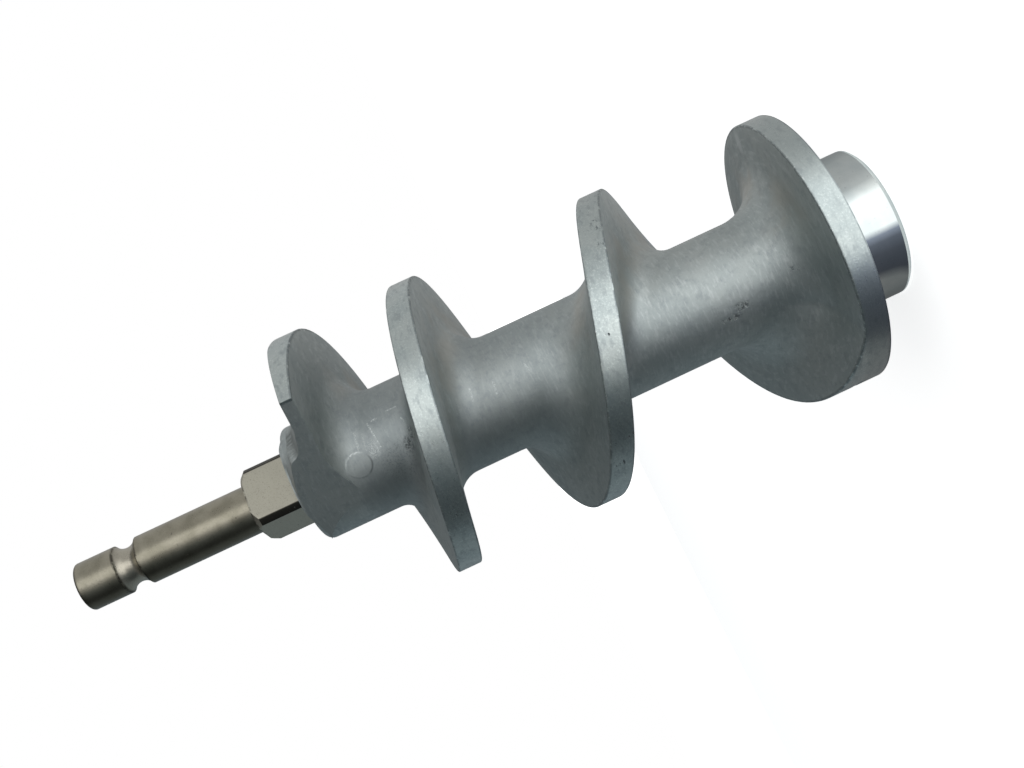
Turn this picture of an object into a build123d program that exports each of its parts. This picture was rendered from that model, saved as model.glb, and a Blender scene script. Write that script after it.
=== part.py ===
from build123d import *
from math import acos, cos, degrees, radians, sin, sqrt, tan
import os

# Feed screw of a meat grinder for an 82 mm plate, in millimetres and degrees.
# The screw stands on its drive end: z runs up the axis to the tip of the knife spindle.
# The flight is left-handed, so its angle is counted clockwise seen from the tip, from +X.

# Cast body
flight_diameter = 66.0
core_diameter = 27.8
land_width = 5.6
flange_thickness = 5.7
rear_pitch = 60.0
front_pitch = 28.6
rear_pitch_angle = 286.0
pitch_change_angle = 337.0
front_pitch_angle = 386.0
flight_start_angle = 129.0
flank_draft = 4.0
rear_root_radius = 7.5
front_root_radius = 4.5
wide_root_radius = 11.0

# Outlet end of the body: the first turn is faced flat and runs down to the core in a ramp
end_land_width = 2.95
face_root_radius = 6.0
nose_length = 7.1
nose_edge_radius = 1.8

# Rear journal, which turns in the housing, with the square socket for the drive shaft
journal_diameter = 36.0
journal_length = 14.5
journal_chamfer = 0.6
socket_width = 17.0
socket_depth = 20.0
socket_corner_radius = 1.5
socket_lead = 1.0

# Steel knife spindle, screwed into the nose
square_width = 14.2
square_length = 12.2
square_corner_diameter = 18.5
square_chamfer = 1.4
square_angle = 23.5
pin_diameter = 11.5
pin_length = 27.9
groove_width = 5.5
groove_depth = 1.5
tip_length = 9.5
tip_edge_radius = 0.6
shank_diameter = 12.0
shank_length = 28.0
shank_clearance = 0.05
bore_run_out = 2.0
bore_lead = 1.0

# How the flight is made: cut rough over its diameter, turned down, its root let into the core
section_step_angle = 20.0
lead_in_angle = 25.0
turning_allowance = 1.5
root_overlap = 2.5
root_sink = 0.15

# Places that follow from the sizes
flight_radius = flight_diameter / 2
core_radius = core_diameter / 2
foot_radius = core_radius - root_sink
flange_front = journal_length + flange_thickness
change_end_angle = rear_pitch_angle + pitch_change_angle
flight_sweep = change_end_angle + front_pitch_angle
flight_end_angle = flight_start_angle + flight_sweep
ramp_sweep = degrees(acos(foot_radius / flight_radius))
ramp_angle = flight_end_angle + ramp_sweep


def land_height(sweep):
    """Height of the land's rear edge, a given angle past the point where it leaves the flange."""
    rear = min(sweep, rear_pitch_angle)
    change = min(max(sweep - rear_pitch_angle, 0), pitch_change_angle)
    front = max(sweep - change_end_angle, 0)
    mean_pitch = rear_pitch + (front_pitch - rear_pitch) * change / pitch_change_angle / 2
    rise = rear_pitch * rear + mean_pitch * change + front_pitch * front
    return journal_length + rise / 360


def front_root(sweep):
    """Radius of the flight's front root: wide by the flange, and narrower as the pitch falls."""
    fallen = min(max(sweep - rear_pitch_angle, 0), pitch_change_angle) / pitch_change_angle
    return wide_root_radius + (front_root_radius - wide_root_radius) * fallen


face_height = land_height(flight_sweep) + end_land_width
nose_height = face_height + nose_length
square_end = nose_height + square_length
groove_start = square_end + pin_length
groove_end = groove_start + groove_width
tip_height = groove_end + tip_length


def flank_and_root(height, side, root_radius, top_radius):
    """Outline of one flank in (radius, z): the flank line's two ends, then the root arc's middle and foot."""
    lean = tan(radians(flank_draft))
    top = (top_radius, height - side * (top_radius - flight_radius) * lean)
    corner_height = height + side * (flight_radius - foot_radius) * lean
    reach = root_radius / tan(radians(90 + flank_draft) / 2)
    foot = (foot_radius, corner_height + side * reach)
    centre = (foot_radius + root_radius, foot[1])
    tangent = (foot_radius + reach * cos(radians(flank_draft)),
               corner_height - side * reach * sin(radians(flank_draft)))
    corner_distance = sqrt(root_radius**2 + reach**2)
    middle = (centre[0] - root_radius * root_radius / corner_distance,
              centre[1] - side * root_radius * reach / corner_distance)
    return top, tangent, middle, foot


def flight_section(sweep):
    """Radial section of the flight at one angle: land, two drafted flanks and their root arcs."""
    angle = radians(flight_start_angle + sweep)
    plane = Plane(origin=(0, 0, 0), x_dir=(cos(angle), -sin(angle), 0), z_dir=(-sin(angle), -cos(angle), 0))
    rear_height = land_height(sweep)
    top_radius = flight_radius + turning_allowance
    rear = flank_and_root(rear_height, -1, rear_root_radius, top_radius)
    front = flank_and_root(rear_height + land_width, 1, front_root(sweep), top_radius)
    inner = core_radius - root_overlap
    outline = [
        Line(front[0], rear[0]),
        Line(rear[0], rear[1]),
        ThreePointArc(rear[1], rear[2], rear[3]),
        Line(rear[3], (inner, rear[3][1])),
        Line((inner, rear[3][1]), (inner, front[3][1])),
        Line((inner, front[3][1]), front[3]),
        ThreePointArc(front[3], front[2], front[1]),
        Line(front[1], front[0]),
    ]
    return plane * make_face(outline)


def face_cutter():
    """What facing takes off in front of the first turn, down to the arc that runs out into the nose."""
    far = flight_radius + 2 * turning_allowance
    top = face_height + 2 * rear_pitch
    arc_top = face_height + face_root_radius
    sagitta = face_root_radius * (1 - sqrt(0.5))
    middle = (foot_radius + sagitta, face_height + sagitta)
    outline = [
        Line((0, arc_top), (foot_radius, arc_top)),
        ThreePointArc((foot_radius, arc_top), middle, (foot_radius + face_root_radius, face_height)),
        Line((foot_radius + face_root_radius, face_height), (far, face_height)),
        Line((far, face_height), (far, top)),
        Line((far, top), (0, top)),
        Line((0, top), (0, arc_top)),
    ]
    return revolve(Plane.XZ * make_face(outline), Axis.Z)


def ramp_cutter():
    """Block beyond the ramp: a flat face along the axis, from the end of the land to a tangent on the core."""
    depth = flight_radius - foot_radius + 2 * turning_allowance
    low = flank_and_root(land_height(flight_sweep), -1, rear_root_radius, flight_radius)[-1][1]
    height = face_height + face_root_radius - low + 2 * turning_allowance
    block = Box(depth, 2 * flight_diameter, height, align=(Align.MIN, Align.CENTER, Align.MIN))
    return Rotation(0, 0, -ramp_angle) * Pos(foot_radius, 0, low) * block


def flight():
    """The helical flight, from inside the flange to the ramp, with its front faced flat."""
    start = -lead_in_angle
    end = flight_sweep + ramp_sweep
    count = round((end - start) / section_step_angle)
    rough = loft([flight_section(start + (end - start) * i / count) for i in range(count + 1)])
    rough = split(rough, Plane.XY.offset(journal_length + flange_thickness / 4), keep=Keep.TOP)
    return rough - face_cutter() - ramp_cutter()


def flange():
    """Disc that closes the rear of the flight; its front is drafted and rounded into the core like the flight."""
    top_radius = flight_radius + turning_allowance / 2
    top, tangent, middle, foot = flank_and_root(flange_front, 1, wide_root_radius, top_radius)
    outline = [
        Line((0, journal_length), (top_radius, journal_length)),
        Line((top_radius, journal_length), top),
        Line(top, tangent),
        ThreePointArc(tangent, middle, foot),
        Line(foot, (0, foot[1])),
        Line((0, foot[1]), (0, journal_length)),
    ]
    return revolve(Plane.XZ * make_face(outline), Axis.Z)


def drive_socket():
    """Square hole in the drive end, with rounded corners and a lead-in at its mouth."""
    hole = extrude(RectangleRounded(socket_width, socket_width, socket_corner_radius), socket_depth)
    mouth_width = socket_width + 2 * socket_lead
    mouth = RectangleRounded(mouth_width, mouth_width, socket_corner_radius + socket_lead)
    return hole + loft([mouth, Plane.XY.offset(socket_lead) * RectangleRounded(
        socket_width, socket_width, socket_corner_radius)])


def spindle_bore():
    """Hole in the nose for the spindle's shank, deeper than the shank, with a lead-in at its mouth."""
    radius = shank_diameter / 2 + shank_clearance
    depth = shank_length + bore_run_out
    outline = Polyline((0, nose_height), (radius + bore_lead, nose_height), (radius, nose_height - bore_lead),
                       (radius, nose_height - depth), (0, nose_height - depth), close=True)
    return revolve(Plane.XZ * make_face(outline), Axis.Z)


def auger_body():
    """The casting: core, flight, flange and journal in one piece, turned over the flight and the journal."""
    align = (Align.CENTER, Align.CENTER, Align.MIN)
    core = fillet(Cylinder(core_radius, nose_height, align=align).edges().sort_by(Axis.Z)[-1], nose_edge_radius)
    turned = Cylinder(flight_radius, nose_height, align=align)
    journal = Cylinder(journal_diameter / 2, journal_length, align=align)
    journal = chamfer(journal.edges().sort_by(Axis.Z)[0], journal_chamfer)
    rough = core + flange() + flight()
    return (rough & turned) + journal - drive_socket() - spindle_bore()


def knife_spindle():
    """The steel spindle: shank, knife square, plate pin, extraction groove and tip."""
    pin_radius = pin_diameter / 2
    shank_radius = shank_diameter / 2
    shank_start = nose_height - shank_length
    turned = [
        Line((0, shank_start), (shank_radius, shank_start)),
        Line((shank_radius, shank_start), (shank_radius, nose_height)),
        Line((shank_radius, nose_height), (pin_radius, nose_height)),
        Line((pin_radius, nose_height), (pin_radius, groove_start)),
        ThreePointArc((pin_radius, groove_start),
                      (pin_radius - groove_depth, groove_start + groove_width / 2), (pin_radius, groove_end)),
        Line((pin_radius, groove_end), (pin_radius, tip_height - tip_edge_radius)),
        RadiusArc((pin_radius, tip_height - tip_edge_radius),
                  (pin_radius - tip_edge_radius, tip_height), -tip_edge_radius),
        Line((pin_radius - tip_edge_radius, tip_height), (0, tip_height)),
        Line((0, tip_height), (0, shank_start)),
    ]
    corner_radius = square_corner_diameter / 2
    blank = Polyline((0, nose_height), (corner_radius, nose_height), (corner_radius, square_end - square_chamfer),
                     (corner_radius - square_chamfer, square_end), (0, square_end), close=True)
    square = extrude(Plane.XY.offset(nose_height) * Rectangle(square_width, square_width, rotation=square_angle),
                     square_length)
    square = square & revolve(Plane.XZ * make_face(blank), Axis.Z)
    return revolve(Plane.XZ * make_face(turned), Axis.Z) + square


os.makedirs("parts", exist_ok=True)
export_step(auger_body(), "parts/auger_body.step")
export_step(knife_spindle(), "parts/knife_spindle.step")
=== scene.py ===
from math import acos, asin, cos, degrees, pi, radians, tan

import bmesh
import bpy
import numpy as np
from mathutils import Matrix


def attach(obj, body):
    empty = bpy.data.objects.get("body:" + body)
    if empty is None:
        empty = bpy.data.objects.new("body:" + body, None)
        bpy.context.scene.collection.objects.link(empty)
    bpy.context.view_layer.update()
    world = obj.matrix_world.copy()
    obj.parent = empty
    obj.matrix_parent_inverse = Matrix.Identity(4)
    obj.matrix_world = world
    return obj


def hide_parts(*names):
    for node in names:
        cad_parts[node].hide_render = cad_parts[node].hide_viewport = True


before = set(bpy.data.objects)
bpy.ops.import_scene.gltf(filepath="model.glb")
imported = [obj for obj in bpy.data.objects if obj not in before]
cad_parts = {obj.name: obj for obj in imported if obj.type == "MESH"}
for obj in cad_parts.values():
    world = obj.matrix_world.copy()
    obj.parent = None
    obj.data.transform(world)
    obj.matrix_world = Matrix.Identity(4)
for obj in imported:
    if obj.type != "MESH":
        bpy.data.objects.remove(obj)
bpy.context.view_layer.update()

# The feed screw of a meat grinder stands on its drive end; lengths are in metres, and angles in degrees.
# Screw angles are counted clockwise seen from the tip, from +X, and go on counting turn after turn.
MM = 0.001

# Cast body
LAND_RADIUS = 33.0 * MM
CORE_RADIUS = 13.9 * MM
LAND_WIDTH = 5.6 * MM
FLANGE_REAR = 14.5 * MM
FLANGE_FRONT = 20.2 * MM
REAR_PITCH = 60.0 * MM
FRONT_PITCH = 28.6 * MM
REAR_PITCH_SWEEP = 286.0
PITCH_CHANGE_SWEEP = 337.0
FRONT_PITCH_SWEEP = 386.0
FLIGHT_START = 129.0
FLANK_DRAFT = radians(4.0)
REAR_ROOT_RADIUS = 7.5 * MM
FRONT_ROOT_RADIUS = 4.5 * MM
WIDE_ROOT_RADIUS = 11.0 * MM
FACE_ROOT_RADIUS = 6.0 * MM
END_LAND_WIDTH = 2.95 * MM
NOSE_LENGTH = 7.1 * MM
NOSE_EDGE = 1.8 * MM
RAMP_FOOT = 13.88 * MM

# Small forms where the cast surfaces meet: roundings, the width of each blend, and the face's slight draft
LAND_EDGE = 0.3 * MM
EDGE_SHARE = 0.35
GROOVE_ROUND = 1.2 * MM
FLANGE_BLEND = 0.5 * MM
FACE_BLEND = 0.3 * MM
FACE_SINK = 0.15 * MM
FACE_DRAFT = 0.05
RING_DROP = 0.15 * MM

# Web that carries the ramp's flat over the nose: its crown, its root on the face, its slopes and blends
CROWN_RADIUS = 16.0 * MM
CROWN_CENTRE = 11.5 * MM
WEB_ROOT_RADIUS = 4.0 * MM
WEB_ROOT_CENTRE = 24.8 * MM
WEB_START = 1092.0
WEB_WALL_SLOPE = 5.0
WEB_BACK_SLOPE = 2.2
WEB_BACK_RISE = 1.0 * MM
CROWN_BLEND = 2.4 * MM
WEB_BACK_BLEND = 1.0 * MM
WEB_FACE_BLEND = 3.0 * MM

# Drive end
JOURNAL_RADIUS = 18.0 * MM
JOURNAL_CHAMFER = 0.6 * MM
JOURNAL_ROOT = 0.5 * MM
SOCKET_HALF = 8.5 * MM
SOCKET_CORNER = 1.5 * MM
SOCKET_LEAD = 1.0 * MM
SOCKET_DEPTH = 20.0 * MM

# Spindle
SQUARE_HALF = 7.1 * MM
SQUARE_LENGTH = 12.2 * MM
SQUARE_BLANK = 9.25 * MM
SQUARE_CHAMFER = 1.4 * MM
SQUARE_CORNER = 0.05 * MM
SQUARE_ANGLE = 23.5
PIN_RADIUS = 5.75 * MM
PIN_LENGTH = 27.9 * MM
GROOVE_WIDTH = 5.5 * MM
GROOVE_DEPTH = 1.5 * MM
TIP_LENGTH = 9.5 * MM
TIP_EDGE = 0.6 * MM
SPINDLE_ROUND = 0.2 * MM
SHANK_RADIUS = 6.0 * MM
SHANK_LENGTH = 28.0 * MM
BORE_RADIUS = 6.05 * MM
BORE_LEAD = 1.0 * MM
BORE_DEPTH = 30.0 * MM

# Mesh rows: how many on each stretch, where on the land's width, and how closely they crowd a flank's foot
FLANK_ROWS = 18
ROUND_ROWS = 4
FLOOR_ROWS = 5
LAND_ROWS = np.array([0.1, 0.5, 0.9])
FLANK_POWER = 2.0
WEB_POWER = 1.3
POWER_SWEEP = 40.0
SPINDLE_STEP = 0.75

# Stretches past the ramp: where the channel closes, and where the front side fades into the nose's ring
CLOSING_SWEEP = 30.0
FADING_START = 1188.0
FADING_SWEEP = 46.0
SEAM_SWEEP = 40.0

# Limits of the arithmetic, and of what counts as one point or as a sharp edge
LEAST_COSINE = 0.1
HALVINGS = 40
TOUCHING = 0.001 * MM
MERGE_DISTANCE = 0.0002 * MM
SHARP_ANGLE = radians(32)

FLIGHT_SWEEP = REAR_PITCH_SWEEP + PITCH_CHANGE_SWEEP + FRONT_PITCH_SWEEP
FLIGHT_END = FLIGHT_START + FLIGHT_SWEEP


def land_height(angle):
    """Height of the land's rear edge: each sweep climbs at its pitch, and the middle one's changes evenly."""
    sweep = angle - FLIGHT_START
    rear = np.minimum(sweep, REAR_PITCH_SWEEP)
    change = np.clip(sweep - REAR_PITCH_SWEEP, 0, PITCH_CHANGE_SWEEP)
    front = np.maximum(sweep - REAR_PITCH_SWEEP - PITCH_CHANGE_SWEEP, 0)
    mean_pitch = REAR_PITCH + (FRONT_PITCH - REAR_PITCH) * change / PITCH_CHANGE_SWEEP / 2
    return FLANGE_REAR + (REAR_PITCH * rear + mean_pitch * change + FRONT_PITCH * front) / 360


FACE_HEIGHT = float(land_height(FLIGHT_END)) + END_LAND_WIDTH
NOSE_HEIGHT = FACE_HEIGHT + NOSE_LENGTH
NOSE_RING = NOSE_HEIGHT - NOSE_EDGE - RING_DROP
SQUARE_END = NOSE_HEIGHT + SQUARE_LENGTH
GROOVE_START = SQUARE_END + PIN_LENGTH
GROOVE_END = GROOVE_START + GROOVE_WIDTH
TIP_HEIGHT = GROOVE_END + TIP_LENGTH

RAMP_NORMAL = FLIGHT_END + degrees(acos(RAMP_FOOT / LAND_RADIUS))
RAMP_END = round(RAMP_NORMAL - degrees(acos(RAMP_FOOT / CORE_RADIUS)))
GROOVE_BIRTH = round(FLIGHT_START + (FLANGE_FRONT - FLANGE_REAR) * 360 / REAR_PITCH - 0.5)
CLOSING = RAMP_END + CLOSING_SWEEP


def columns(first, last):
    """Screw angles of the mesh's columns: every degree, and every half degree where the ramp is."""
    angle = np.arange(2 * first, 2 * last + 1) / 2
    place = (angle - FLIGHT_END) % 360
    return angle[(angle % 1 == 0) | (place < RAMP_END - FLIGHT_END)]


# Columns in one turn
TURN = len(columns(0, 360)) - 1


def flank_rise(radius, root_radius):
    """How far a flank lies beyond its land edge: a drafted line, then the arc that runs out on the core."""
    lean = tan(FLANK_DRAFT)
    reach = root_radius / tan((pi / 2 + FLANK_DRAFT) / 2)
    foot = (LAND_RADIUS - CORE_RADIUS) * lean + reach
    inside = np.clip(CORE_RADIUS + root_radius - radius, 0, root_radius)
    arc = foot - np.sqrt(root_radius**2 - inside**2)
    line = (LAND_RADIUS - radius) * lean
    return np.where(radius > CORE_RADIUS + reach * cos(FLANK_DRAFT), line, arc)


def front_root(angle):
    """Radius of the flight's front root: wide by the flange, and narrower as the pitch falls."""
    fallen = np.clip((angle - FLIGHT_START - REAR_PITCH_SWEEP) / PITCH_CHANGE_SWEEP, 0, 1)
    return WIDE_ROOT_RADIUS + (FRONT_ROOT_RADIUS - WIDE_ROOT_RADIUS) * fallen


def smooth_min(a, b, width):
    """The lesser of two heights, less a quarter of a width times their squared closeness, at a crossing."""
    share = np.clip(1 - np.abs(a - b) / width, 0, 1)
    return np.minimum(a, b) - share**2 * width / 4


def web_height(angle, radius):
    """Web behind the ramp: the least of a crown's arc, an outer wall over a root arc, and a sloping back."""
    over = np.clip(radius - CROWN_CENTRE, 0, CROWN_RADIUS)
    crown = NOSE_HEIGHT - CROWN_RADIUS + np.sqrt(CROWN_RADIUS**2 - over**2)
    outside = np.clip(WEB_ROOT_CENTRE - radius, 0, WEB_ROOT_RADIUS)
    root_level = FACE_HEIGHT + FACE_DRAFT * (LAND_RADIUS - WEB_ROOT_CENTRE) + WEB_ROOT_RADIUS
    root = root_level - np.sqrt(WEB_ROOT_RADIUS**2 - outside**2)
    root = root + np.maximum(WEB_ROOT_CENTRE - WEB_ROOT_RADIUS - radius, 0) * WEB_WALL_SLOPE
    back = WEB_START + np.degrees(np.arccos(CORE_RADIUS / np.maximum(radius, CORE_RADIUS)))
    behind = radius * np.radians(back - angle)
    web = smooth_min(crown, root, CROWN_BLEND)
    return smooth_min(web, NOSE_HEIGHT + WEB_BACK_RISE - WEB_BACK_SLOPE * behind, WEB_BACK_BLEND)


def front_height(angle, radius):
    """Front side of the flange, then of the flight, cut off by the face with its root arc and its web."""
    edge = -smooth_min(-(land_height(angle) + LAND_WIDTH), -FLANGE_FRONT, FLANGE_BLEND)
    inside = np.clip(CORE_RADIUS + FACE_ROOT_RADIUS - radius, 0, FACE_ROOT_RADIUS)
    face = FACE_HEIGHT + FACE_ROOT_RADIUS - np.sqrt(FACE_ROOT_RADIUS**2 - inside**2)
    face = face + FACE_DRAFT * np.minimum(LAND_RADIUS - radius, LAND_RADIUS - WEB_ROOT_CENTRE) - FACE_SINK
    face = -smooth_min(-face, -web_height(angle, radius), WEB_FACE_BLEND)
    return smooth_min(edge + flank_rise(radius, front_root(angle)), face, FACE_BLEND)


def rear_height(angle, radius):
    """Rear side of the flight: the land's rear edge, less the flank's rise."""
    return land_height(angle) - flank_rise(radius, REAR_ROOT_RADIUS)


def on_nose(angle, radius):
    """Height of the front side on the nose, which past the ramp sinks with an ease to the ring round the nose.

    Angles up to a little past the seam are taken one turn on, so that both sides of the seam agree."""
    angle = np.where(angle < CLOSING - 360 + SEAM_SWEEP, angle + 360, angle)
    share = np.clip((angle - FADING_START) / FADING_SWEEP, 0, 1)
    share = share**2 * (3 - 2 * share)
    return np.maximum(front_height(angle, radius) * (1 - share) + NOSE_RING * share, NOSE_RING)


def top_radius(angle):
    """Radius of the land, then of the flat ramp: its foot over the cosine of the turn from its normal."""
    ramp = RAMP_FOOT / np.maximum(np.cos(np.radians(RAMP_NORMAL - angle)), LEAST_COSINE)
    ramp = np.clip(ramp, CORE_RADIUS, LAND_RADIUS)
    return np.where(angle <= FLIGHT_END, LAND_RADIUS, ramp)


def channel_floor(angle):
    """Where the channel ahead of each angle has its floor.

    The sides go down to the radius where they are two rounding radii apart, found by halving, or to the
    core. Below that the floor sinks by part of an ellipse. Past the last turn the floor's middle line
    climbs to the ring round the nose."""
    low = np.full_like(angle, CORE_RADIUS)
    high = np.full_like(angle, LAND_RADIUS)
    for _ in range(HALVINGS):
        middle = (low + high) / 2
        wide = rear_height(angle + 360, middle) - front_height(angle, middle) > 2 * GROOVE_ROUND
        high = np.where(wide, middle, high)
        low = np.where(wide, low, middle)
    side_foot = np.minimum(high, LAND_RADIUS - LAND_EDGE)
    side_foot = np.where(high - CORE_RADIUS < TOUCHING, CORE_RADIUS, side_foot)
    gap = rear_height(angle + 360, side_foot) - front_height(angle, side_foot)
    half_gap = np.maximum(gap / 2, 0)
    near = np.minimum(half_gap, GROOVE_ROUND)
    sink = GROOVE_ROUND - np.sqrt(GROOVE_ROUND**2 - near**2)
    sink = np.minimum(sink, side_foot - CORE_RADIUS)
    line = front_height(angle, side_foot) + half_gap
    climb = np.clip((angle + 360 - RAMP_END) / CLOSING_SWEEP, 0, 1)
    line = line + (on_nose(angle + 360, CORE_RADIUS) - line) * climb
    return side_foot, sink, line


def half_section(angle, height, toward, side_foot, sink, line, top, edge):
    """One side of the flight as rows from the land to the channel's middle line.

    First a quarter round at the land's edge, then the flank, its rows spaced by a power of their share so
    that the root arc gets many, then the floor, by the cosine of its share. Past the ramp the land and the
    flank draw in to the ring round the nose."""
    climb = np.clip((angle - RAMP_END) / CLOSING_SWEEP, 0, 1)
    turn = np.radians(np.linspace(0, 90, ROUND_ROWS + 1))
    flank_top = top - edge
    start = height(angle, flank_top) - toward * edge
    round_r = flank_top[:, None] + edge[:, None] * np.cos(turn)
    round_z = start[:, None] + toward * edge[:, None] * np.sin(turn)
    power = FLANK_POWER + (WEB_POWER - FLANK_POWER) * np.clip((angle - WEB_START) / POWER_SWEEP + 1, 0, 1)
    share = (1 - np.linspace(0, 1, FLANK_ROWS + 1)[1:]) ** power[:, None]
    foot = np.minimum(side_foot, flank_top)
    flank_r = foot[:, None] + (flank_top - foot)[:, None] * share
    flank_z = height(angle[:, None], flank_r)
    turn = np.radians(np.linspace(0, 90, FLOOR_ROWS + 1)[1:])
    floor_r = foot[:, None] - sink[:, None] * np.sin(turn)
    foot_z = height(angle, foot)
    ring = on_nose(angle, CORE_RADIUS)
    ring_column = ring[:, None]
    round_z = np.minimum(round_z + (ring_column - round_z) * climb[:, None], ring_column)
    flank_z = np.minimum(flank_z + (ring_column - flank_z) * climb[:, None], ring_column)
    foot_z = np.minimum(foot_z + (ring - foot_z) * climb, ring)
    floor_z = foot_z[:, None] + (line - foot_z)[:, None] * (1 - np.cos(turn))
    return np.hstack([round_r, flank_r, floor_r]), np.hstack([round_z, flank_z, floor_z])


def ring_points(angle, radius, height):
    """Cylindrical places as points: x runs with the cosine and y against the sine of the screw angle."""
    turn = np.radians(np.broadcast_to(angle, radius.shape))
    return np.stack([radius * np.cos(turn), -radius * np.sin(turn), height], -1)


def grid_faces(grid, first):
    """Quads of a grid of points, which are numbered column by column from the first."""
    index = first + np.arange(grid.shape[0] * grid.shape[1]).reshape(grid.shape[:2])
    quads = np.stack([index[:-1, :-1], index[1:, :-1], index[1:, 1:], index[:-1, 1:]], -1)
    return quads.reshape(-1, 4).tolist()


def join_mesh(name, grids, triangles=()):
    """One closed mesh from grids whose borders meet: equal points are merged, and faces turned outwards."""
    points, faces = [], []
    for grid in grids:
        faces += grid_faces(grid, sum(len(p) for p in points))
        points.append(grid.reshape(-1, 3))
    for triangle in triangles:
        first = sum(len(p) for p in points)
        points.append(np.array(triangle))
        faces.append([first, first + 1, first + 2])
    mesh = bpy.data.meshes.new(name)
    mesh.from_pydata(np.concatenate(points).tolist(), [], faces)
    shape = bmesh.new()
    shape.from_mesh(mesh)
    bmesh.ops.remove_doubles(shape, verts=shape.verts, dist=MERGE_DISTANCE)
    bmesh.ops.recalc_face_normals(shape, faces=shape.faces)
    shape.to_mesh(mesh)
    shape.free()
    mesh.shade_smooth()
    mesh.set_sharp_from_angle(angle=SHARP_ANGLE)
    piece = bpy.data.objects.new(name, mesh)
    bpy.context.scene.collection.objects.link(piece)
    return piece


def square_radius(angle, half, corner):
    """Polar radius of a square with rounded corners: the flat's secant, then the corner arc."""
    turn = np.radians(np.abs((angle + 45) % 90 - 45))
    centre = half - corner
    flat = half / np.cos(turn)
    spread = centre * (np.cos(turn) - np.sin(turn))
    arc = centre * (np.cos(turn) + np.sin(turn)) + np.sqrt(np.maximum(corner**2 - spread**2, 0))
    return np.where(half * np.tan(turn) < centre, flat, arc)


def arc_rows(centre_r, centre_z, radius, start, end, count):
    """Rows of (radius, height) along an arc, from one angle to another."""
    turn = np.radians(np.linspace(start, end, count))
    return [(centre_r + radius * np.cos(t), centre_z + radius * np.sin(t)) for t in turn]


def turned_grid(angle, rows):
    """A turned surface: rows of (radius, height), where a radius may also be one value for each column."""
    radius = np.stack([np.broadcast_to(r, angle.shape) for r, z in rows], 1)
    height = np.stack([np.broadcast_to(z, angle.shape) for r, z in rows], 1)
    return ring_points(angle[:, None], radius, height)


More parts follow.
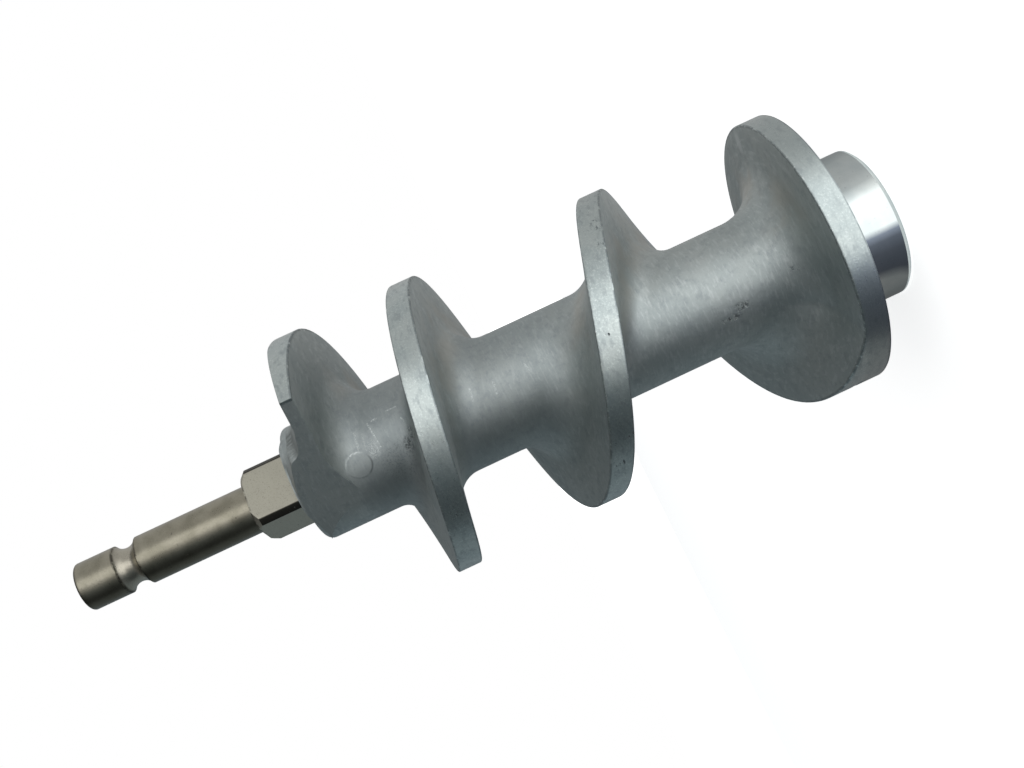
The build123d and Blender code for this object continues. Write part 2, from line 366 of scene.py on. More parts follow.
def auger_body():
    """The casting: one closed surface of revolved ends and the winding flight between them."""
    flange_angle = columns(GROOVE_BIRTH - 360, CLOSING)
    pair_angle = columns(GROOVE_BIRTH - 360, CLOSING - 360)
    side_foot, sink, line = channel_floor(pair_angle)

    # Front sides, from the flange to the closing point
    last = len(flange_angle) - len(pair_angle)
    front_foot = np.concatenate([side_foot, np.full(last, CORE_RADIUS)])
    front_sink = np.concatenate([sink, np.zeros(last)])
    front_line = np.concatenate([line, on_nose(flange_angle[-last:], CORE_RADIUS)])
    top = top_radius(flange_angle)
    opening = rear_height(flange_angle + 360, LAND_RADIUS) - FLANGE_FRONT
    edge = np.minimum(LAND_EDGE, np.maximum(EDGE_SHARE * (top - CORE_RADIUS), 0))
    edge = np.where(flange_angle < FLIGHT_START, np.minimum(edge, np.maximum(EDGE_SHARE * opening, 0)), edge)
    front_r, front_z = half_section(flange_angle, front_height, 1, front_foot, front_sink, front_line,
                                    top, edge)

    # Rear sides, from where the groove behind the flight opens
    rear_angle = flange_angle[TURN:]
    rear_top = top[TURN:]
    opening = rear_height(rear_angle, LAND_RADIUS) - FLANGE_FRONT
    rear_edge = np.minimum(edge[TURN:], np.maximum(EDGE_SHARE * opening, 0))
    rear_r, rear_z = half_section(rear_angle, rear_height, -1, side_foot, sink, line, rear_top, rear_edge)

    # The groove opens from one point on the land
    birth_height = float(rear_height(np.array(float(GROOVE_BIRTH)), LAND_RADIUS))
    front_r[0], front_z[0] = LAND_RADIUS, birth_height
    rear_r[0], rear_z[0] = LAND_RADIUS, birth_height

    # The flange's land runs from its rear edge to its front edge, until the groove opens
    low = FLANGE_REAR + LAND_EDGE
    flange_low = np.vstack([np.full((TURN, 1), low), [[birth_height]]])
    flange_land = flange_low + (front_z[:TURN + 1, :1] - flange_low) * np.append(0, LAND_ROWS)
    flange_land[0] = low
    flange = ring_points(flange_angle[:TURN + 1, None],
                         np.hstack([np.full(flange_land.shape, LAND_RADIUS), front_r[:TURN + 1]]),
                         np.hstack([flange_land, front_z[:TURN + 1]]))
    land_r = rear_r[:, :1] + (front_r[TURN:, :1] - rear_r[:, :1]) * LAND_ROWS
    land_z = rear_z[:, :1] + (front_z[TURN:, :1] - rear_z[:, :1]) * LAND_ROWS
    flight = ring_points(rear_angle[:, None], np.hstack([rear_r[:, ::-1], land_r, front_r[TURN:]]),
                         np.hstack([rear_z[:, ::-1], land_z, front_z[TURN:]]))

    # One triangle fills the corner between the flange's rear edge and the point where the groove opens
    corner = (flange[TURN - 1, 0], flange[0, 0], flange[TURN, 0])

    # Turned surface from the socket's bottom over the journal to the flange's rear edge
    turn = columns(GROOVE_BIRTH, GROOVE_BIRTH + 360)
    wide = JOURNAL_RADIUS
    socket = square_radius(turn, SOCKET_HALF, SOCKET_CORNER)
    mouth = square_radius(turn, SOCKET_HALF + SOCKET_LEAD, SOCKET_CORNER + SOCKET_LEAD)
    journal = [(0, SOCKET_DEPTH), (socket / 2, SOCKET_DEPTH), (socket, SOCKET_DEPTH)]
    journal += [(socket, SOCKET_DEPTH * share) for share in (0.75, 0.5, 0.25)]
    journal += [(socket, SOCKET_LEAD), (mouth, 0), ((mouth + wide) / 2, 0), (wide - JOURNAL_CHAMFER, 0)]
    journal += [(wide, JOURNAL_CHAMFER), (wide, FLANGE_REAR / 2)]
    journal += arc_rows(wide + JOURNAL_ROOT, FLANGE_REAR - JOURNAL_ROOT, JOURNAL_ROOT, 180, 90, 5)
    journal += [((wide + LAND_RADIUS) / 2, FLANGE_REAR)]
    journal += arc_rows(LAND_RADIUS - LAND_EDGE, low, LAND_EDGE, -90, 0, ROUND_ROWS + 1)

    # Nose, from the ring where the flight has closed to the bottom of the bore
    last_turn = columns(CLOSING - 360, CLOSING)
    nose = [(CORE_RADIUS, NOSE_RING)]
    nose += arc_rows(CORE_RADIUS - NOSE_EDGE, NOSE_HEIGHT - NOSE_EDGE, NOSE_EDGE, 0, 90, 7)
    nose = [(r, np.maximum(z, on_nose(last_turn, r))) for r, z in nose]
    nose += [((CORE_RADIUS + BORE_RADIUS) / 2, NOSE_HEIGHT), (BORE_RADIUS + BORE_LEAD, NOSE_HEIGHT)]
    nose += [(BORE_RADIUS, NOSE_HEIGHT - BORE_LEAD), (BORE_RADIUS, NOSE_HEIGHT - BORE_DEPTH)]
    nose += [(0, NOSE_HEIGHT - BORE_DEPTH)]
    closing = turned_grid(last_turn, nose)
    return join_mesh("auger_casting", [flange, flight, turned_grid(turn, journal), closing], [corner])


def knife_spindle():
    """The steel spindle: shank, square with turned corners, plate pin, groove and tip."""
    turn = np.arange(0, 360 + SPINDLE_STEP / 2, SPINDLE_STEP)
    flat = square_radius(turn + SQUARE_ANGLE, SQUARE_HALF, SQUARE_CORNER)
    square = np.minimum(flat, SQUARE_BLANK)
    groove_half = GROOVE_WIDTH / 2
    groove_radius = (groove_half**2 + GROOVE_DEPTH**2) / (2 * GROOVE_DEPTH)
    groove_turn = degrees(asin(groove_half / groove_radius))
    small = SPINDLE_ROUND
    rows = [(0, NOSE_HEIGHT - SHANK_LENGTH), (SHANK_RADIUS, NOSE_HEIGHT - SHANK_LENGTH)]
    rows += [(SHANK_RADIUS, NOSE_HEIGHT), (square - small, NOSE_HEIGHT), (square, NOSE_HEIGHT + small)]
    rows += [(square, NOSE_HEIGHT + SQUARE_LENGTH * share) for share in (0.3, 0.6)]
    for step in np.linspace(0, 1, 8):
        blank = SQUARE_BLANK - SQUARE_CHAMFER * step
        rows.append((np.minimum(flat, blank), SQUARE_END - SQUARE_CHAMFER * (1 - step)))
    rows += arc_rows(PIN_RADIUS + small, SQUARE_END + small, small, 270, 180, 4)
    rows += [(PIN_RADIUS, SQUARE_END + PIN_LENGTH * share) for share in (0.25, 0.5, 0.75)]
    rows += [(PIN_RADIUS, GROOVE_START - small)]
    rows += arc_rows(PIN_RADIUS - GROOVE_DEPTH + groove_radius, GROOVE_START + groove_half, groove_radius,
                     180 + groove_turn, 180 - groove_turn, 15)
    rows += [(PIN_RADIUS, GROOVE_END + small), (PIN_RADIUS, (GROOVE_END + TIP_HEIGHT) / 2)]
    rows += arc_rows(PIN_RADIUS - TIP_EDGE, TIP_HEIGHT - TIP_EDGE, TIP_EDGE, 0, 90, 7)
    rows += [(PIN_RADIUS / 2, TIP_HEIGHT), (0, TIP_HEIGHT)]
    return join_mesh("knife_spindle_steel", [turned_grid(turn, rows)])


casting = auger_body()
spindle = knife_spindle()
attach(casting, "root")
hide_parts("auger_body")
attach(spindle, "root")
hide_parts("knife_spindle")


def land_share(points):
    """How far across its land each place lies, from 0 at the rear edge to 1 at the front edge."""
    turn = np.degrees(np.arctan2(-points[:, 1], points[:, 0])) % 360
    leaving = (turn > FLIGHT_START) & (turn <= GROOVE_BIRTH + 1)
    flange_top = np.where(leaving, land_height(turn) + LAND_WIDTH, 0)
    share = (points[:, 2] - FLANGE_REAR) / (np.maximum(flange_top, FLANGE_FRONT) - FLANGE_REAR)
    for lap in range(4):
        angle = turn + 360 * lap
        across = (points[:, 2] - land_height(angle)) / LAND_WIDTH
        near = (angle > GROOVE_BIRTH + 1) & (np.abs(across - 0.5) < 0.8)
        share = np.where(near, across, share)
    return share


class Nodes:
    """A material's nodes, each joined to the ones before it as it is added."""

    def __init__(self, name):
        self.material = bpy.data.materials.new(name)
        self.material.use_nodes = True
        self.tree = self.material.node_tree

    def feed(self, socket, value):
        """Joins an output to the socket, or sets the socket's own value."""
        if isinstance(value, bpy.types.NodeSocket):
            self.tree.links.new(value, socket)
        else:
            socket.default_value = value

    def math(self, operation, *values):
        """One math node of numbers and outputs."""
        node = self.tree.nodes.new("ShaderNodeMath")
        node.operation = operation
        for socket, value in zip(node.inputs, values):
            self.feed(socket, value)
        return node.outputs[0]

    def vector(self, operation, *values):
        """One vector math node; lengths and dot products are numbers."""
        node = self.tree.nodes.new("ShaderNodeVectorMath")
        node.operation = operation
        for socket, value in zip(node.inputs, values):
            self.feed(socket, value)
        return node.outputs["Value" if operation in ("LENGTH", "DOT_PRODUCT") else "Vector"]

    def parts(self, place):
        """The three coordinates of a place."""
        node = self.tree.nodes.new("ShaderNodeSeparateXYZ")
        self.feed(node.inputs[0], place)
        return node.outputs

    def ease(self, value, low, high, most=1.0, kind="SMOOTHSTEP"):
        """Step from 0 at one value to the most at another, eased unless its kind says otherwise."""
        node = self.tree.nodes.new("ShaderNodeMapRange")
        node.interpolation_type = kind
        for name, setting in (("Value", value), ("From Min", low), ("From Max", high), ("To Max", most)):
            self.feed(node.inputs[name], setting)
        return node.outputs["Result"]

    def times(self, *values):
        """Product of the values."""
        result = values[0]
        for value in values[1:]:
            result = self.math("MULTIPLY", result, value)
        return result

    def total(self, *pairs):
        """Sum of values, each times its weight."""
        result = 0.0
        for value, weight in pairs:
            result = self.math("MULTIPLY_ADD", value, weight, result)
        return result

    def most(self, values):
        """Greatest of the values."""
        result = values[0]
        for value in values[1:]:
            result = self.math("MAXIMUM", result, value)
        return result

    def blend(self, share, first, second):
        """The first colour turned into the second by a share."""
        node = self.tree.nodes.new("ShaderNodeMix")
        node.data_type = "RGBA"
        for place, value in ((0, share), (6, first), (7, second)):
            self.feed(node.inputs[place], (*value, 1) if isinstance(value, tuple) else value)
        return node.outputs[2]


class Recipe(Nodes):
    """A metal's nodes, in millimetres, with the surface unrolled at one radius."""

    def __init__(self, name, arc_radius):
        super().__init__(name)
        self.shader = self.tree.nodes["Principled BSDF"]
        self.shader.inputs["Metallic"].default_value = 1.0
        source = self.tree.nodes.new("ShaderNodeTexCoord").outputs["Object"]
        self.place = self.vector("MULTIPLY", source, (1000, 1000, 1000))
        self.x, self.y, self.z = self.parts(self.place)
        self.radius = self.vector("LENGTH", self.vector("MULTIPLY", self.place, (1, 1, 0)))
        self.turn = self.math("ARCTAN2", self.math("MULTIPLY", self.y, -1), self.x)
        wrapped = self.tree.nodes.new("ShaderNodeCombineXYZ")
        self.feed(wrapped.inputs[0], self.z)
        self.feed(wrapped.inputs[1], self.math("MULTIPLY", self.turn, arc_radius))
        self.feed(wrapped.inputs[2], self.radius)
        self.wrapped = wrapped.outputs[0]
        self.arc_radius = arc_radius

    def noise(self, scale, detail=2.0, roughness=0.5):
        """Noise with so many grains a millimetre, or so many along, around and outward on the part."""
        node = self.tree.nodes.new("ShaderNodeTexNoise")
        if isinstance(scale, tuple):
            self.feed(node.inputs["Vector"], self.vector("MULTIPLY", self.wrapped, scale))
            node.inputs["Scale"].default_value = 1.0
        else:
            self.feed(node.inputs["Vector"], self.place)
            node.inputs["Scale"].default_value = scale
        node.inputs["Detail"].default_value = detail
        node.inputs["Roughness"].default_value = roughness
        return node.outputs["Fac"]

    def spot(self, height, turn, radius, along, around):
        """One at a spot given by height, screw angle and radius, fading to none at its half widths."""
        centre = (height, radians(turn) * self.arc_radius, radius)
        offset = self.vector("SUBTRACT", self.wrapped, centre)
        reach = self.vector("DIVIDE", offset, (along, around, SPOT_DEPTH))
        return self.ease(self.vector("LENGTH", reach), 1.0, 0.35)

    def stroke(self, height, turn, end_height, end_turn, width):
        """One on the line between two places on the core, fading to none a half width beside it."""
        arc = radians(end_turn - turn) * self.arc_radius
        run = (end_height - height, arc, 0.0)
        start = (height, radians(turn) * self.arc_radius, MARK_RADIUS)
        offset = self.vector("SUBTRACT", self.wrapped, start)
        share = self.times(self.vector("DOT_PRODUCT", offset, run), 1 / (run[0]**2 + arc**2))
        share = self.math("MAXIMUM", self.math("MINIMUM", share, 1.0), 0.0)
        away = self.vector("SUBTRACT", offset, self.vector("MULTIPLY", run, share))
        away = self.vector("LENGTH", self.vector("MULTIPLY", away, (1, 1, 0.1)))
        return self.ease(away, width, 0.3 * width)

    def bump(self, height):
        """Relief, its height in millimetres."""
        node = self.tree.nodes.new("ShaderNodeBump")
        node.inputs["Distance"].default_value = MM
        self.feed(node.inputs["Height"], height)
        self.feed(self.shader.inputs["Normal"], node.outputs["Normal"])

    def finish(self, colour, roughness):
        """The material, once its colour and roughness are given."""
        self.feed(self.shader.inputs["Base Color"], colour)
        self.feed(self.shader.inputs["Roughness"], roughness)
        return self.material


# Marks, in millimetres and degrees: how deep a spot reaches, and where those on the core lie
SPOT_DEPTH = 4.0
MARK_RADIUS = 14.2
PIN_MARK_HEIGHT = 129.3
PIN_MARK_ANGLE = 94.5

# Scratches on the core: height and angle of their two ends, half width, strength
SCRATCHES = [
    (124.2, 62.5, 123.4, 87.4, 0.2, 0.8),
    (123.1, 61.7, 122.0, 61.2, 0.3, 0.9),
    (119.3, 58.6, 117.0, 58.5, 0.2, 0.8),
    (116.9, 71.0, 116.6, 75.0, 0.25, 0.8),
    (100.6, 74.0, 101.0, 85.0, 0.3, 0.45),
    (95.2, 76.0, 95.6, 88.0, 0.4, 0.6),
    (87.4, 74.0, 86.8, 83.0, 0.3, 0.45),
    (104.2, 79.0, 104.6, 92.0, 0.4, 0.25),
    (127.6, 66.0, 128.2, 84.0, 0.4, 0.3),
    (126.2, 70.0, 126.6, 86.0, 0.3, 0.25),
]

# Colours of the casting
CAST_GREY = (0.385, 0.43, 0.43)
CAST_PALE_GREY = (0.45, 0.485, 0.475)
CAST_MOTTLE = (0.32, 0.355, 0.365)
CAST_STREAK = (0.54, 0.58, 0.575)
CAST_GRAIN = (0.30, 0.33, 0.335)
# Painted shade that darkens part of the core
CAST_PAINTED_SHADE = (0.24, 0.27, 0.28)
CAST_STAIN = (0.45, 0.44, 0.40)
# Bare metal, and painted highlights
CAST_BARE_AND_HIGHLIGHT = (0.78, 0.82, 0.82)
# Dirt, and painted shade
CAST_DIRT_AND_SHADE = (0.10, 0.11, 0.115)


def cast_metal():
    """Tumbled casting: satin grey, finely streaked round the part, brown in the roots, marked and pitted, with
    painted shade and painted highlights.
    """
    r = Recipe("cast_satin", CORE_RADIUS / MM)
    tone = r.noise(0.05, 3.0)
    mottle = r.noise(0.45, 6.0, 0.68)
    grain = r.noise(2.6, 3.0, 0.65)
    streak = r.noise((1.7, 0.4, 0.7), 4.0, 0.62)
    colour = r.blend(r.ease(tone, 0.3, 0.7), CAST_GREY, CAST_PALE_GREY)
    colour = r.blend(r.ease(mottle, 0.46, 0.70, 0.65), colour, CAST_MOTTLE)
    colour = r.blend(r.ease(streak, 0.48, 0.70, 0.6), colour, CAST_STREAK)
    colour = r.blend(r.ease(grain, 0.55, 0.8, 0.4), colour, CAST_GRAIN)
    # Painted shade: the core within 18.5 mm of the axis darkens from 45 mm up to 118 mm high, then fades out
    # again between 128 and 134 mm, dimming its highlight
    dull = r.times(r.ease(r.z, 45.0, 118.0), r.ease(r.z, 134.0, 128.0), r.ease(r.radius, 18.5, 14.5), 0.5)
    colour = r.blend(dull, colour, CAST_PAINTED_SHADE)
    root = r.times(r.ease(r.radius, 14.0, 17.0), r.ease(r.radius, 32.0, 20.0), r.ease(r.x, -14.0, 10.0))
    stain = r.times(root, r.ease(r.z, 131.0, 126.0), r.ease(r.noise(0.11, 4.0), 0.40, 0.65, 0.55))
    colour = r.blend(stain, colour, CAST_STAIN)

    # Scratches and a pin mark on the core, nicks and soot beside them, patches of pits, and worn edges. The
    # pin mark's rim gets a painted highlight on one side and painted shade on the other. The cast flanks get a
    # dark line of painted shade beside the land's edge, and the parting ridge is painted lighter.
    scratch = r.most([r.times(r.stroke(*stroke[:5]), stroke[5]) for stroke in SCRATCHES])
    scuff = r.times(r.spot(125.0, 87.0, MARK_RADIUS, 1.8, 3.0), 0.5)
    scratch = r.times(r.math("MAXIMUM", scratch, scuff), r.ease(r.noise(4.2, 3.0, 0.6), 0.44, 0.6))
    pin_centre = (PIN_MARK_HEIGHT, radians(PIN_MARK_ANGLE) * r.arc_radius, MARK_RADIUS)
    offset = r.vector("SUBTRACT", r.wrapped, pin_centre)
    from_pin = r.vector("LENGTH", r.vector("MULTIPLY", offset, (1, 1, 0.2)))
    pin_mark = r.ease(from_pin, 3.1, 2.7)
    pin_edge = r.times(r.ease(from_pin, 2.45, 2.75), r.ease(from_pin, 3.1, 2.85))
    # Painted highlight on one side of the pin mark's rim, and painted shade on the other
    pin_painted_highlight = r.times(pin_edge, r.spot(129.6, 82.0, MARK_RADIUS, 2.4, 3.0))
    pin_painted_shade = r.times(pin_edge, r.spot(126.8, 99.0, MARK_RADIUS, 1.8, 3.2))
    nicks = r.most([r.spot(116.0, 88.0, MARK_RADIUS, 1.1, 2.2),
                    r.spot(117.6, 96.0, MARK_RADIUS, 1.6, 2.4),
                    r.spot(112.6, 94.0, 14.4, 1.2, 1.6)])
    nicks = r.times(nicks, r.ease(r.noise(1.7, 4.0, 0.7), 0.46, 0.54))
    soot = r.times(r.spot(121.0, 107.0, MARK_RADIUS, 6.5, 7.0), r.ease(r.noise(2.4, 4.0, 0.7), 0.5, 0.62),
                   0.4)
    pits = r.most([r.spot(41.6, 118.5, 15.0, 3.4, 1.1), r.spot(38.4, 111.0, 15.5, 2.6, 1.6),
                   r.spot(25.6, 98.0, 18.5, 2.0, 1.2)])
    pits = r.times(pits, r.ease(r.noise(1.3, 4.0, 0.7), 0.47, 0.56))
    ridge = r.times(r.spot(20.8, 4.0, 29.0, 3.0, 1.1), r.ease(r.radius, 22.0, 28.0))
    # Painted shade: a dark line on the cast flanks just below the land's edge
    rim = r.times(r.ease(r.radius, 32.2, 32.7), r.ease(r.noise(0.5, 4.0, 0.6), 0.36, 0.5))
    chip = r.times(r.ease(r.radius, 32.0, 32.6), r.ease(r.noise(0.8, 4.0, 0.65), 0.58, 0.66))
    # The dark marks mix dirt with painted shade, and the bright ones mix bare metal with painted highlights
    dark = r.most([r.times(nicks, 0.9), pits, r.times(pin_painted_shade, 0.7), r.times(rim, 0.5), soot])
    bright = r.most([scratch, r.times(pin_painted_highlight, r.ease(grain, 0.4, 0.6), 0.6), r.times(ridge, 0.35), chip])
    colour = r.blend(r.times(bright, 0.75), colour, CAST_BARE_AND_HIGHLIGHT)
    colour = r.blend(r.times(dark, 0.85), colour, CAST_DIRT_AND_SHADE)
    roughness = r.math("ADD", r.total((grain, 0.14), (mottle, 0.14), (bright, -0.12)), 0.40)
    r.bump(r.total((grain, 0.014), (streak, 0.018), (mottle, 0.06), (tone, 0.2), (pits, -0.1), (nicks, -0.04),
                   (scratch, -0.02), (pin_mark, 0.035), (ridge, 0.1)))
    return r.finish(colour, roughness)


# Colours of the turned land
LAND_GREY = (0.40, 0.455, 0.455)
LAND_PALE_GREY = (0.47, 0.52, 0.51)
LAND_SPECK = (0.58, 0.64, 0.62)
LAND_SCUFF = (0.30, 0.34, 0.35)
LAND_SHADE = (0.30, 0.34, 0.34)
LAND_BARE = (0.80, 0.85, 0.83)
# Dirt, and painted shade along the land's edges
LAND_DIRT_AND_SHADE = (0.10, 0.12, 0.13)


def turned_land():
    """Outside of the flight, turned and then tumbled: speckled, bright, faintly ringed, worn at its edges,
    with dark lines of painted shade along them.
    """
    land = LAND_RADIUS / MM
    r = Recipe("turned_land", land)
    speck = r.noise(2.1, 4.0, 0.7)
    cloud = r.noise(0.12, 3.0)
    ring = r.noise((5.0, 0.06, 0.0), 2.0)
    scuff = r.noise((0.7, 0.3, 0.0), 5.0, 0.65)
    across = r.tree.nodes.new("ShaderNodeAttribute")
    across.attribute_name = "land_share"
    across = across.outputs["Fac"]
    colour = r.blend(r.ease(cloud, 0.35, 0.65), LAND_GREY, LAND_PALE_GREY)
    colour = r.blend(r.ease(speck, 0.48, 0.68, 0.8), colour, LAND_SPECK)
    colour = r.blend(r.ease(scuff, 0.5, 0.66, 0.6), colour, LAND_SCUFF)
    colour = r.blend(r.times(r.ease(r.z, 21.0, 19.0), 0.45), colour, LAND_SHADE)
    marks = r.most([r.spot(61.6, 43.0, land, 1.6, 3.4), r.spot(63.0, 55.0, land, 1.8, 2.0),
                    r.spot(61.2, 54.0, land, 2.4, 0.8), r.spot(70.6, 86.0, land, 1.3, 1.2),
                    r.spot(114.0, 124.0, land, 1.6, 3.0), r.spot(79.0, 136.0, land, 1.2, 2.2)])
    marks = r.times(marks, r.ease(r.noise((1.4, 0.7, 0.0), 3.0, 0.6), 0.53, 0.62, 0.8))
    holes = r.most([r.spot(73.4, 125.0, land, 0.35, 0.9), r.spot(74.6, 125.6, land, 0.3, 0.6),
                    r.spot(77.4, 136.4, land, 0.3, 1.0), r.spot(70.2, 87.0, land, 0.3, 0.35)])
    # Painted shade: dark lines along the land's rear and front edges
    rear_line = r.times(r.ease(across, 0.09, 0.03), r.ease(r.noise(0.5, 4.0, 0.6), 0.32, 0.50))
    front_line = r.times(r.ease(across, 0.93, 0.98), r.ease(r.noise(0.6, 4.0, 0.6), 0.36, 0.52))
    chips = r.times(r.most([r.ease(across, 0.90, 0.97), r.ease(across, 0.07, 0.02)]),
                    r.ease(r.noise(0.9, 4.0, 0.65), 0.58, 0.66))
    dark = r.most([marks, holes, r.times(rear_line, 0.7), r.times(front_line, 0.6)])
    colour = r.blend(r.times(chips, 0.8), colour, LAND_BARE)
    colour = r.blend(r.times(dark, 0.85), colour, LAND_DIRT_AND_SHADE)
    roughness = r.math("ADD", r.total((speck, -0.26), (scuff, 0.28), (ring, 0.10), (dark, 0.2)), 0.27)
    r.bump(r.total((speck, 0.022), (ring, 0.004), (scuff, 0.03), (holes, -0.12), (marks, -0.05)))
    return r.finish(colour, roughness)


# Colours of the journal
JOURNAL_GREY = (0.47, 0.52, 0.52)
JOURNAL_PALE_GREY = (0.55, 0.59, 0.58)
JOURNAL_FLECK = (0.36, 0.39, 0.40)
JOURNAL_GLANCE = (0.55, 0.57, 0.58)


def bright_journal():
    """Journal and end face, turned fine and bright, with rings from the tool and a few dull marks."""
    r = Recipe("bright_journal", JOURNAL_RADIUS / MM)
    ring = r.noise((7.0, 0.03, 4.0), 2.0)
    haze = r.noise(0.15, 3.0)
    fleck = r.noise(1.2, 3.0, 0.6)
    colour = r.blend(r.ease(haze, 0.35, 0.7), JOURNAL_GREY, JOURNAL_PALE_GREY)
    colour = r.blend(r.ease(fleck, 0.62, 0.75, 0.5), colour, JOURNAL_FLECK)
    roughness = r.math("ADD", r.total((ring, 0.04), (haze, 0.04), (fleck, 0.02)), 0.03)
    r.shader.inputs["Specular Tint"].default_value = (*JOURNAL_GLANCE, 1)
    r.bump(r.total((ring, 0.0015), (haze, 0.02)))
    return r.finish(colour, roughness)


# Colours of the spindle
STEEL_BROWN = (0.265, 0.25, 0.195)
STEEL_PALE_BROWN = (0.345, 0.325, 0.26)
# Painted shade for one side of the pin, groove and tip
STEEL_PAINTED_SHADE = (0.075, 0.065, 0.045)
STEEL_GROUND = (0.43, 0.42, 0.355)
STEEL_GROOVE = (0.47, 0.445, 0.375)
STEEL_GRAIN = (0.19, 0.18, 0.15)
STEEL_BLACK = (0.035, 0.033, 0.028)


def spindle_metal():
    """Steel spindle: satin pin with faint rings and pits, ground square with nearly black turned corners, and
    painted shade on one side of the pin.
    """
    r = Recipe("spindle_steel", PIN_RADIUS / MM)
    cloud = r.noise(0.25, 3.0)
    grain = r.noise(3.4, 3.0, 0.65)
    ring = r.noise((6.0, 0.15, 0.0), 2.0)
    high = SQUARE_END / MM
    square = r.times(r.ease(r.z, high + 0.1, high - 0.1), r.ease(r.radius, 6.6, 7.0))
    colour = r.blend(r.ease(cloud, 0.35, 0.65), STEEL_BROWN, STEEL_PALE_BROWN)
    # Painted shade: the pin, groove and tip are darkened between screw angles of about 92 and 180 degrees,
    # most between 128 and 160
    turned = r.ease(r.radius, 6.6, 6.2)
    side = r.times(r.ease(r.turn, radians(92), radians(128)), r.ease(r.turn, pi, radians(160)))
    painted_shade = r.times(turned, side, 0.7)
    colour = r.blend(painted_shade, colour, STEEL_PAINTED_SHADE)
    groove = r.times(r.ease(r.radius, 5.65, 5.1), r.ease(r.z, GROOVE_END / MM + 0.4, GROOVE_END / MM))
    colour = r.blend(r.times(square, 0.8), colour, STEEL_GROUND)
    colour = r.blend(r.times(groove, 0.8), colour, STEEL_GROOVE)
    colour = r.blend(r.ease(grain, 0.5, 0.75, 0.5), colour, STEEL_GRAIN)
    speck = r.ease(r.noise(1.3, 3.0, 0.6), 0.68, 0.74)
    corner = r.times(r.ease(r.radius, 9.08, 9.2), r.ease(r.noise(1.6, 3.0), 0.78, 0.68))
    rings = []
    for height in (high, GROOVE_START / MM, GROOVE_END / MM):
        away = r.math("ABSOLUTE", r.math("SUBTRACT", r.z, height))
        rings.append(r.times(r.ease(away, 0.45, 0.1), r.ease(r.noise(0.8, 3.0), 0.35, 0.6), 0.75))
    tip = r.times(r.ease(r.z, TIP_HEIGHT / MM - 0.9, TIP_HEIGHT / MM - 0.3), 0.6)
    dark = r.most([r.times(speck, 0.7), r.times(corner, 0.95), *rings, tip])
    colour = r.blend(dark, colour, STEEL_BLACK)
    roughness = r.math("ADD", r.total((grain, 0.16), (cloud, 0.10), (ring, 0.06), (square, 0.10)), 0.15)
    r.bump(r.total((grain, 0.014), (ring, 0.003), (cloud, 0.03), (speck, -0.03)))
    return r.finish(colour, roughness)


# How far the turned surfaces reach: inward from the land, and up to the flange and out from the journal
LAND_SKIN = 0.4 * MM
JOURNAL_GAP = 0.1 * MM
JOURNAL_SKIN = 0.2 * MM


def surface_kinds(centres):
    """Metal of each of the casting's faces: 1 outside on the flight, 2 at the drive end, and 0 elsewhere."""
    radius = np.hypot(centres[:, 0], centres[:, 1])
    drive_end = (centres[:, 2] < FLANGE_REAR - JOURNAL_GAP) & (radius < JOURNAL_RADIUS + JOURNAL_SKIN)
    return np.where(drive_end, 2, np.where(radius > LAND_RADIUS - LAND_SKIN, 1, 0))


for material in (cast_metal(), turned_land(), bright_journal()):
    casting.data.materials.append(material)
spindle.data.materials.append(spindle_metal())
points = np.zeros(len(casting.data.vertices) * 3)
casting.data.vertices.foreach_get("co", points)
share = casting.data.attributes.new("land_share", "FLOAT", "POINT")
share.data.foreach_set("value", land_share(points.reshape(-1, 3)).astype(np.float32))
centres = np.zeros(len(casting.data.polygons) * 3)
casting.data.polygons.foreach_get("center", centres)
kinds = surface_kinds(centres.reshape(-1, 3))
casting.data.polygons.foreach_set("material_index", kinds.astype(np.int32))

# Camera: level in front of the part, tipped down a little, then rolled over
CAMERA_PLACE = (0.91 * MM, -257.59 * MM, 97.45 * MM)
CAMERA_TIP = 1.346
CAMERA_ROLL = 115.03
CAMERA_LENS = 39.19

camera = bpy.data.objects.new("camera", bpy.data.cameras.new("camera"))
bpy.context.scene.collection.objects.link(camera)
camera.data.sensor_width = 36.0
camera.data.lens = CAMERA_LENS
camera.data.clip_start = 0.01
camera.matrix_world = (Matrix.Translation(CAMERA_PLACE)
                       @ Matrix.Rotation(radians(90 - CAMERA_TIP), 4, "X")
                       @ Matrix.Rotation(radians(-CAMERA_ROLL), 4, "Z"))
bpy.context.scene.camera = camera

# Studio: a white floor, and a light tent round the part whose wall and ground are bright on one side
FLOOR_HALF = 4.0
FLOOR_WHITE = 0.8
FLOOR_FILL = 0.78
TENT_RADIUS = 0.75
TENT_HEIGHT = 1.1
TENT_RISE = 1 * MM
TOP_LEVEL = 0.15

# Levels of light by screw angle, which start and end at one angle, and the stretches that are tinted
LIGHT_SEAM = -80
WALL_LEVELS = [
    (-80, 0.42), (-45, 0.64), (10, 0.64), (36, 0.60), (52, 0.80), (84, 0.76), (100, 0.42),
    (118, 0.15), (145, 0.08), (165, 0.06), (185, 0.24), (230, 0.30), (270, 0.12), (280, 0.42),
]
FAR_LEVELS = [
    (-80, 0.40), (-45, 0.50), (10, 0.55), (36, 0.95), (52, 1.6), (84, 1.6), (100, 1.5),
    (118, 0.18), (145, 0.09), (165, 0.09), (185, 0.22), (230, 0.24), (270, 0.15), (280, 0.40),
]
NEAR_LEVELS = [
    (-80, 0.50), (-40, 0.55), (0, 0.60), (20, 0.64), (34, 0.8), (45, 1.3), (55, 1.95), (104, 1.95),
    (114, 0.5), (124, 0.22), (140, 0.12), (164, 0.08), (178, 0.26), (200, 0.26), (260, 0.18), (280, 0.50),
]
SHADE_TINT = (0.90, 1.05, 1.12)
SHADE_STRETCH = (110, 275)
NEAR_TINT = (0.90, 0.97, 1.2)
NEAR_STRETCH = (110, 170)
NEAR_RADIUS = 0.11
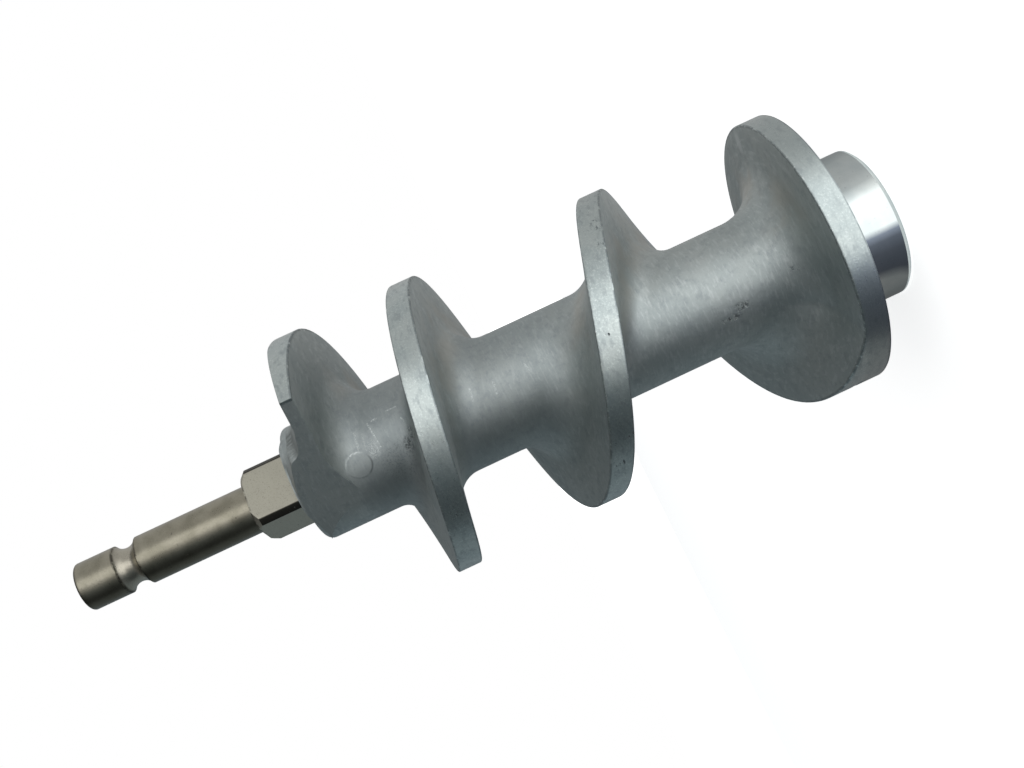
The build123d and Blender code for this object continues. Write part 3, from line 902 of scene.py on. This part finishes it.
NEAR_CENTRE = (0, -0.0096, 0)

# Key lamp, which faces the axis from one side
KEY_LEVEL = 0.68
KEY_WIDTH = 0.42
KEY_LENGTH = 0.9
KEY_DISTANCE = 0.6
KEY_HEIGHT = 0.46
KEY_ANGLE = 71


def studio_object(name, points, faces, material):
    """A thing of the studio, which is no piece of the part."""
    mesh = bpy.data.meshes.new(name)
    mesh.from_pydata(points, [], faces)
    mesh.materials.append(material)
    thing = bpy.data.objects.new(name, mesh)
    bpy.context.scene.collection.objects.link(thing)
    return thing


class Glow(Nodes):
    """Nodes of a surface that gives light."""

    def __init__(self, name):
        super().__init__(name)
        self.tree.nodes.clear()
        self.surface = self.tree.nodes.new("ShaderNodeOutputMaterial").inputs["Surface"]
        self.light = self.tree.nodes.new("ShaderNodeEmission")
        self.feed(self.surface, self.light.outputs[0])

    def by_angle(self, place, levels, tint, stretch):
        """Colour of the light by a place's screw angle, even between levels and tinted on one stretch."""
        x, y = self.parts(place)[:2]
        turn = self.math("ARCTAN2", self.math("MULTIPLY", y, -1), x)
        turn = self.math("MULTIPLY_ADD", turn, 1 / (2 * pi), -LIGHT_SEAM / 360)
        node = self.tree.nodes.new("ShaderNodeValToRGB")
        self.feed(node.inputs[0], self.math("FRACT", turn))
        stops = node.color_ramp.elements
        while len(stops) < len(levels):
            stops.new(0.5)
        for stop, (angle, level) in zip(stops, levels):
            tinted = stretch[0] < angle < stretch[1]
            stop.position = (angle - LIGHT_SEAM) / 360
            stop.color = (*(level * part for part in (tint if tinted else (1, 1, 1))), 1)
        return node.outputs[0]


def floor_white():
    """Matte white, with a glow that only the camera and reflections see, so that it comes out white."""
    g = Glow("floor_white")
    path = g.tree.nodes.new("ShaderNodeLightPath")
    seen = g.most([path.outputs[f"Is {ray} Ray"] for ray in ("Camera", "Glossy", "Transmission")])
    g.feed(g.light.inputs["Strength"], g.times(seen, FLOOR_FILL))
    matte = g.tree.nodes.new("ShaderNodeBsdfDiffuse")
    matte.inputs["Color"].default_value = (FLOOR_WHITE, FLOOR_WHITE, FLOOR_WHITE, 1)
    both = g.tree.nodes.new("ShaderNodeAddShader")
    g.feed(both.inputs[0], matte.outputs[0])
    g.feed(both.inputs[1], g.light.outputs[0])
    g.feed(g.surface, both.outputs[0])
    return g.material


def wall_light():
    """Light of the tent's wall, by angle."""
    g = Glow("tent_wall")
    place = g.tree.nodes.new("ShaderNodeTexCoord").outputs["Object"]
    g.feed(g.light.inputs["Color"], g.by_angle(place, WALL_LEVELS, SHADE_TINT, SHADE_STRETCH))
    return g.material


def ground_light():
    """Light of the tent's ground: near levels inside a radius, and far levels outside it."""
    g = Glow("tent_ground")
    place = g.tree.nodes.new("ShaderNodeTexCoord").outputs["Object"]
    far = g.by_angle(place, FAR_LEVELS, SHADE_TINT, SHADE_STRETCH)
    near = g.by_angle(place, NEAR_LEVELS, NEAR_TINT, NEAR_STRETCH)
    outward = g.ease(g.vector("LENGTH", place), 0.8 * NEAR_RADIUS, 1.2 * NEAR_RADIUS, kind="LINEAR")
    g.feed(g.light.inputs["Color"], g.blend(outward, near, far))
    return g.material


def lid_light():
    """Light of the tent's lid, the same all over."""
    g = Glow("tent_lid")
    g.light.inputs["Color"].default_value = (TOP_LEVEL, TOP_LEVEL, TOP_LEVEL, 1)
    return g.material


world = bpy.data.worlds.new("studio")
world.use_nodes = True
bpy.context.scene.world = world
world.node_tree.nodes["Background"].inputs["Color"].default_value = (1, 1, 1, 1)

floor_points = [(x * FLOOR_HALF, y * FLOOR_HALF, 0) for x, y in ((-1, -1), (1, -1), (1, 1), (-1, 1))]
studio_object("floor", floor_points, [(0, 1, 2, 3)], floor_white())

turn = np.radians(np.arange(0, 360, 5.0))
circle = [(TENT_RADIUS * np.cos(t), TENT_RADIUS * np.sin(t)) for t in turn]
low_circle = [(x, y, TENT_RISE) for x, y in circle]
high_circle = [(x, y, TENT_HEIGHT) for x, y in circle]
count = len(turn)
wall_faces = [(i, (i + 1) % count, (i + 1) % count + count, i + count) for i in range(count)]
tent = studio_object("tent", low_circle + high_circle, wall_faces, wall_light())
lid = studio_object("tent_top", high_circle, [tuple(range(count))], lid_light())
ground = studio_object("tent_ground", low_circle, [tuple(range(count))], ground_light())
ground.location = NEAR_CENTRE
for thing in (tent, lid, ground):
    thing.visible_camera = False
ground.visible_diffuse = False
ground.visible_shadow = False

key_data = bpy.data.lights.new("key", "AREA")
key_data.shape = "RECTANGLE"
key_data.size = KEY_WIDTH
key_data.size_y = KEY_LENGTH
key_data.energy = KEY_LEVEL * pi * key_data.size * key_data.size_y
key = bpy.data.objects.new("key", key_data)
key.matrix_world = (Matrix.Rotation(radians(-KEY_ANGLE), 4, "Z")
                    @ Matrix.Translation((KEY_DISTANCE, 0, KEY_HEIGHT))
                    @ Matrix.Rotation(radians(90), 4, "Y")
                    @ Matrix.Rotation(radians(90), 4, "Z"))
key.visible_camera = False
bpy.context.scene.collection.objects.link(key)
bpy.context.scene.view_settings.view_transform = "Standard"
